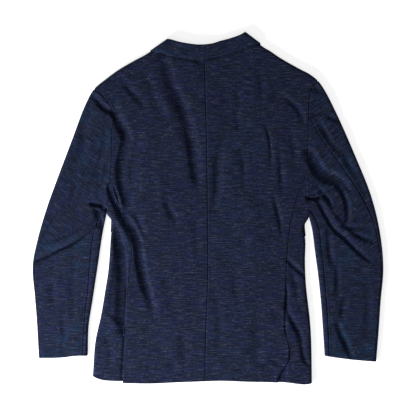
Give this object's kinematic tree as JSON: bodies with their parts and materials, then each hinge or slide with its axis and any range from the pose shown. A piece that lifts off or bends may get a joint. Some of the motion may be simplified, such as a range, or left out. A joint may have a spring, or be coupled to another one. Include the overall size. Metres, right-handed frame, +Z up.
{
  "type": "sport coat",
  "caption": "Single sport coat of slubbed woven cloth laid face down, with collar, panelled back, side vents, two-piece sleeves and lapels beneath.",
  "frame": {"origin": "on the surface the coat lies on, under the middle of its outline", "axes": "+X to the wearer's right, +Y from the hem to the collar, +Z up out of the coat's back"},
  "size_m": [0.7878, 0.7912, 0.0166],
  "materials": {
    "shell_cloth": "matt navy slub weave",
    "button_horn": "satin dark horn"
  },
  "bodies": {
    "root": {"back_left": "shell_cloth", "back_right": "shell_cloth", "side_left": "shell_cloth", "side_right": "shell_cloth", "front_left": "shell_cloth", "front_right": "shell_cloth", "topsleeve_left": "shell_cloth", "topsleeve_right": "shell_cloth", "undersleeve_left": "shell_cloth", "undersleeve_right": "shell_cloth", "lapel_left": "shell_cloth", "lapel_right": "shell_cloth", "collar_fall": "shell_cloth", "collar_stand": "shell_cloth", "front_button_1": "button_horn", "front_button_2": "button_horn"}
  },
  "joints": []
}
